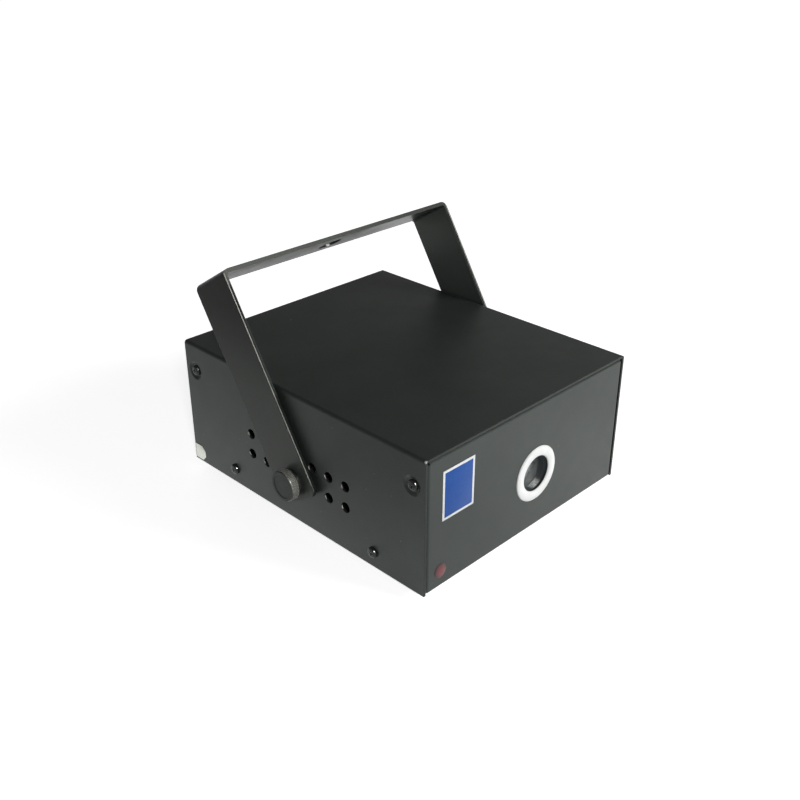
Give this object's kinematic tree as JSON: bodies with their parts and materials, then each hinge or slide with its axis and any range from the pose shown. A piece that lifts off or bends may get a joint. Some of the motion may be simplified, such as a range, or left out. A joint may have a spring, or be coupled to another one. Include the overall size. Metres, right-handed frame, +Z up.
{
  "type": "laser show projector",
  "caption": "Black sheet-metal laser show projector with a round front aperture, vented sides and a tilting U bracket clamped by thumb screws.",
  "frame": {"origin": "on the resting plane, in the middle of the overall outline with the rear knob", "axes": "+Z up, -Y out of the front aperture, +X to the right as seen from the front"},
  "size_m": [0.1648, 0.1822, 0.1241],
  "materials": {
    "housing_paint": "fine black powder coat",
    "bracket_paint": "satin black paint",
    "black_steel": "black oxide",
    "steel": "zinc plated",
    "foot_rubber": "matt rubber",
    "white_plastic": "plain white",
    "black_plastic": "moulded black",
    "black_gloss_plastic": "polished black",
    "black_anodised": "black anodised",
    "window_glass": "clear glass",
    "red_lens": "dark red lens",
    "aluminium": "milled",
    "brass": "turned",
    "dichroic_glass": "coated glass",
    "grating_glass": "diffraction film on glass",
    "guard_chrome": "plated wire",
    "board_green": "solder mask",
    "capacitor_sleeve": "shrink sleeve",
    "knob_plastic": "moulded black",
    "button_red": "moulded red"
  },
  "bodies": {
    "housing": {"base_chassis": "housing_paint", "top_cover": "housing_paint", "upper_cover_screws": "black_steel", "lower_cover_screws": "black_steel", "cover_nuts": "steel", "rubber_feet": "foot_rubber", "pivot_spacers": "black_plastic", "pivot_nuts": "steel", "aperture_bezel": "white_plastic", "aperture_tube": "black_anodised", "window_glass": "window_glass", "window_retaining_ring": "black_anodised", "indicator_lens": "red_lens", "optical_bench": "aluminium", "bench_standoffs": "brass", "bench_screws": "steel", "green_laser_module": "brass", "green_laser_block": "aluminium", "red_laser_module": "brass", "red_laser_block": "aluminium", "combiner_mount": "black_anodised", "dichroic_combiner": "dichroic_glass", "motor_bracket": "steel", "wheel_motor": "steel", "fan_frame": "black_plastic", "fan_guard": "guard_chrome", "fan_screws": "black_steel", "switch_body": "black_gloss_plastic", "potentiometer": "steel", "potentiometer_nut": "steel", "button_body": "steel", "button_nut": "steel", "dc_socket": "black_plastic", "dc_socket_nut": "steel", "microphone": "aluminium", "driver_board": "board_green", "board_standoffs": "brass", "board_screws": "steel", "board_capacitors": "capacitor_sleeve", "board_connectors": "white_plastic", "board_heat_sink": "aluminium"},
    "bracket": {"mounting_bracket": "bracket_paint", "bracket_washers": "steel"},
    "left_clamp": {"left_thumb_screw": "black_steel"},
    "right_clamp": {"right_thumb_screw": "black_steel"},
    "gobo": {"gobo_wheel": "aluminium", "wheel_hub": "brass", "gobo_gratings": "grating_glass"},
    "fan": {"fan_rotor": "black_plastic"},
    "sensitivity": {"sensitivity_knob": "knob_plastic", "potentiometer_shaft": "steel"},
    "rocker": {"power_rocker": "black_gloss_plastic"},
    "mode": {"mode_button": "button_red"}
  },
  "joints": [
    {"name": "bracket_tilt", "type": "hinge", "parent": "housing", "child": "bracket", "pos_m": [0, -0.0069, 0.028], "axis": [1, 0, 0], "continuous": true},
    {"name": "left_thumb_screw_turn", "type": "hinge", "parent": "housing", "child": "left_clamp", "pos_m": [-0.0758, -0.0069, 0.028], "axis": [-1, 0, 0], "range_deg": [0, 1080]},
    {"name": "right_thumb_screw_turn", "type": "hinge", "parent": "housing", "child": "right_clamp", "pos_m": [0.0758, -0.0069, 0.028], "axis": [1, 0, 0], "range_deg": [0, 1080]},
    {"name": "gobo_wheel_spin", "type": "hinge", "parent": "housing", "child": "gobo", "pos_m": [0.0197, -0.0672, 0.0335], "axis": [0, 1, 0], "continuous": true},
    {"name": "fan_spin", "type": "hinge", "parent": "housing", "child": "fan", "pos_m": [-0.04, 0.0758, 0.039], "axis": [0, 1, 0], "continuous": true},
    {"name": "sensitivity_turn", "type": "hinge", "parent": "housing", "child": "sensitivity", "pos_m": [0.014, 0.0808, 0.029], "axis": [0, 1, 0], "range_deg": [-150, 150]},
    {"name": "power_rocker_tilt", "type": "hinge", "parent": "housing", "child": "rocker", "pos_m": [0.048, 0.0808, 0.053], "axis": [1, 0, 0], "range_deg": [0, 16]},
    {"name": "mode_button_press", "type": "slide", "parent": "housing", "child": "mode", "axis": [0, -1, 0], "range_m": [0, 0.0015], "stiffness_N_per_m": 900}
  ]
}
